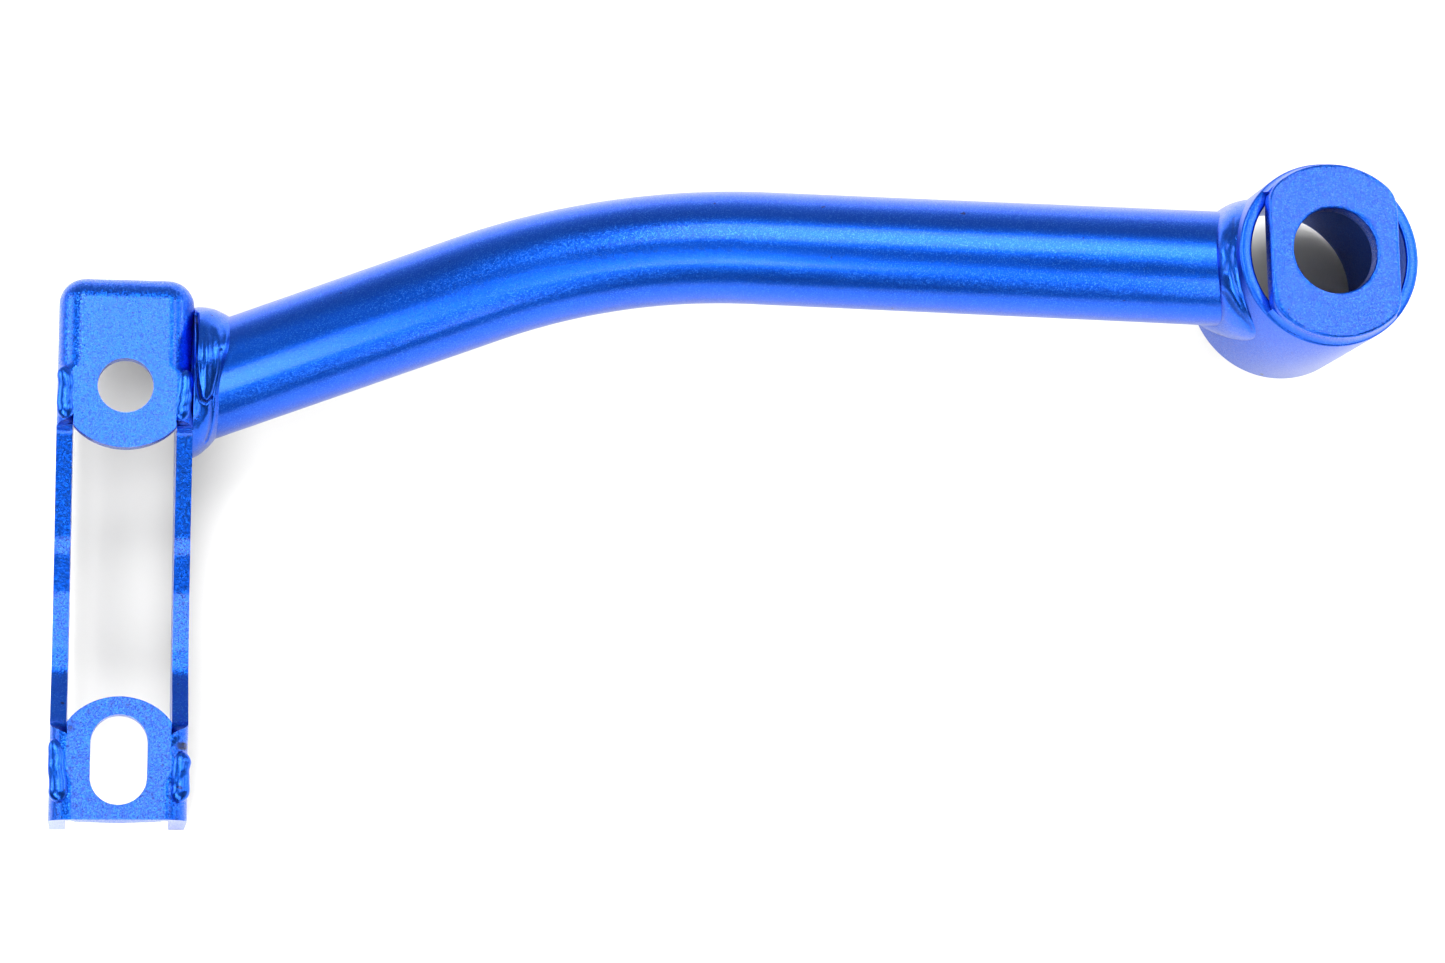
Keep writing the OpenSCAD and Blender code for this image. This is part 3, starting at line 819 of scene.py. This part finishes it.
def makePlateFillet(name, node, middle):
    # section: hollow curve from the plate's edge down to the sleeve's rim, closed along the plate and rim;
    # swept round one of the plate's round ends and shut at both of its ends by fans to the section's middle
    sweep = 2 * math.asin(endPlate["flats"] / 2 / endPlate["outerR"]) - plateFillet["short"]
    turn = middle + np.linspace(-sweep / 2, sweep / 2, 90)[:, None]
    bend = np.radians(np.linspace(0, 90, 9))[None]
    uneven = 1 + plateFillet["uneven"] * wobble(turn * 9, 0 * turn, 91)
    width = sleeve["outerR"] - endPlate["outerR"] - plateFillet["inset"]
    low = sleeve["height"] - plateFillet["embed"]
    radial = endPlate["outerR"] + width * (1 - np.sin(bend) ** plateFillet["hollow"]) + 0 * turn
    height = low + plateFillet["height"] * uneven * (1 - np.cos(bend) ** plateFillet["hollow"])
    inside = np.full((len(turn), 1), endPlate["outerR"] - plateFillet["embed"])
    radial = np.concatenate([radial, inside, inside], 1)
    height = np.concatenate([height, height[:, -1:], 0 * inside + low], 1)
    grid = np.stack([radial * np.cos(turn), radial * np.sin(turn), height], -1)
    middles = grid.mean(1, keepdims=True) + 0 * grid
    parts = [(grid, False, True), (np.stack([middles[0], grid[0]]), False, True),
             (np.stack([grid[-1], middles[-1]]), False, True)]
    meshPiece(name, node, parts, weldCoat)


makeTube()
makeSleeve()
makeEndPlate()
makeBracket()
makeSleeveWeld()
makeBracketWeld()
for bead in beads:
    makeSeamBead(*bead)
makePlateFillet("plateFilletFront", "plate_weld_front", -math.pi / 2)
makePlateFillet("plateFilletRear", "plate_weld_rear", math.pi / 2)
print("object made")

floorLook = {"color": (0.8, 0.8, 0.8), "size": 6.0, "rough": 0.9, "specular": 0.1}
view = {
    "at": (-0.0667, -0.1745, 0.7696), "ahead": (-0.0772, 0.1705, -0.9824), "up": (0.0251, 0.9855, 0.1689),
    "lens": 85.0, "sensor": 36.0,
}
lights = [
    # name, middle, aim, direction of its length, width, length, brightness
    ("overheadLeft", (-0.22, 0.58, 1.5), (-0.1, 0.0, 0.0), (0.0, 1.0, 0.0), 0.44, 0.85, 7.0),
    ("overheadMiddle", (0.19, 0.28, 1.5), (-0.1, 0.0, 0.0), (0.0, 1.0, 0.0), 0.3, 0.95, 7.0),
    ("overheadRight", (1.12, 0.42, 1.5), (0.0, 0.0, 0.0), (0.0, 1.0, 0.0), 0.4, 0.8, 7.0),
    ("frontLeft", (-0.5, -0.56, 0.95), (-0.15, 0.0, 0.0), (0.2, -0.98, 0.0), 0.28, 0.7, 8.5),
    ("frontTall", (0.06, -1.35, 0.98), (-0.05, 0.0, 0.0), (0.0, 0.0, 1.0), 0.32, 1.1, 6.2),
    ("left", (-0.95, 0.2, 0.55), (-0.15, 0.0, 0.0), (0.0, 1.0, 0.0), 0.45, 0.5, 5.0),
    ("right", (0.75, 0.23, 0.3), (-0.15, 0.0, 0.0), (0.0, 1.0, 0.0), 0.3, 0.5, 5.0),
]
partMiddle = (-0.13, 0.0, 0.0)
# boxes round the part that light the floor and are not mirrored in the coat: turn, distance, height, width,
# length, brightness
fills = [
    (90, 1.3, 1.5, 1.8, 1.2, 8.0),
    (270, 1.3, 1.5, 1.8, 1.2, 8.0),
    (0, 1.6, 0.9, 1.8, 1.0, 5.0),
    (180, 1.6, 0.9, 1.8, 1.0, 5.0),
]
sky = {"below": 1.0, "front": 0.1, "back": 0.85, "top": 0.04, "fade": 1.1}


def makeFloor():
    low = min(corner[2] for corner in cadBox)
    half = floorLook["size"] / 2
    mesh = bpy.data.meshes.new("floor")
    corners = [(-half, -half, low), (half, -half, low), (half, half, low), (-half, half, low)]
    mesh.from_pydata(corners, [], [(0, 1, 2, 3)])
    floor = bpy.data.objects.new("floor", mesh)
    bpy.context.scene.collection.objects.link(floor)
    paper = bpy.data.materials.new("whitePaper")
    paper.use_nodes = True
    shader = paper.node_tree.nodes["Principled BSDF"]
    shader.inputs["Base Color"].default_value = (*floorLook["color"], 1)
    shader.inputs["Roughness"].default_value = floorLook["rough"]
    shader.inputs["Specular IOR Level"].default_value = floorLook["specular"]
    mesh.materials.append(paper)


def makeLamp(name, middle, aim, along, width, length, brightness):
    # faces its aim, with its length as near as may be to the given direction
    data = bpy.data.lights.new(name, "AREA")
    data.shape = "RECTANGLE"
    data.size, data.size_y = width, length
    data.energy = brightness * math.pi * width * length
    lamp = bpy.data.objects.new(name, data)
    back = (Vector(middle) - Vector(aim)).normalized()
    side = Vector(along).cross(back).normalized()
    turn = Matrix((side, back.cross(side), back)).transposed()
    lamp.matrix_world = Matrix.Translation(middle) @ turn.to_4x4()
    bpy.context.scene.collection.objects.link(lamp)
    return lamp


def makeLights():
    for light in lights:
        lamp = makeLamp(*light)
        # these shine in the coat only; the floor has its own light, so that hollows stay dark
        lamp.visible_diffuse = False
    for turn, distance, height, width, length, brightness in fills:
        angle = math.radians(turn)
        at = Vector(partMiddle) + Vector((math.cos(angle), math.sin(angle), 0)) * distance
        at.z = height
        lamp = makeLamp("fill" + str(turn), at, partMiddle, (0.0, 0.0, 1.0), width, length, brightness)
        lamp.visible_glossy = False
        lamp.visible_camera = False


def makeSky():
    # a white table in a dim room: white below the horizon, pale at it and more so at the back, dim overhead
    world = bpy.data.worlds.new("room")
    world.use_nodes = True
    tree = world.node_tree
    where = addNode(tree, "ShaderNodeTexCoord").outputs["Generated"]
    split = addNode(tree, "ShaderNodeSeparateXYZ")
    tree.links.new(where, split.inputs[0])

    def ranged(value, low, high, first, last):
        node = addNode(tree, "ShaderNodeMapRange")
        tree.links.new(value, node.inputs["Value"])
        for key, number in (("From Min", low), ("From Max", high), ("To Min", first), ("To Max", last)):
            node.inputs[key].default_value = number
        return node.outputs[0]

    horizon = ranged(split.outputs["Y"], -1, 1, sky["front"], sky["back"])
    fade = ranged(split.outputs["Z"], 0, sky["fade"], 0, 1)
    below = ranged(split.outputs["Z"], -0.02, 0, 1, 0)
    lit = mixColor(tree, fade, horizon, (sky["top"],) * 3)
    lit = mixColor(tree, below, lit, (sky["below"],) * 3)
    tree.links.new(lit, tree.nodes["Background"].inputs[0])
    bpy.context.scene.world = world


def makeCamera():
    ahead, up = Vector(view["ahead"]).normalized(), Vector(view["up"])
    right = ahead.cross(up).normalized()
    up = right.cross(ahead)
    data = bpy.data.cameras.new("camera")
    data.lens, data.sensor_width = view["lens"], view["sensor"]
    data.clip_start = 0.05
    camera = bpy.data.objects.new("camera", data)
    turn = Matrix((right, up, -ahead)).transposed()
    camera.matrix_world = Matrix.Translation(view["at"]) @ turn.to_4x4()
    bpy.context.scene.collection.objects.link(camera)
    bpy.context.scene.camera = camera


makeFloor()
makeLights()
makeSky()
makeCamera()
bpy.context.scene.view_settings.view_transform = "Standard"
print("floor, light and camera set")
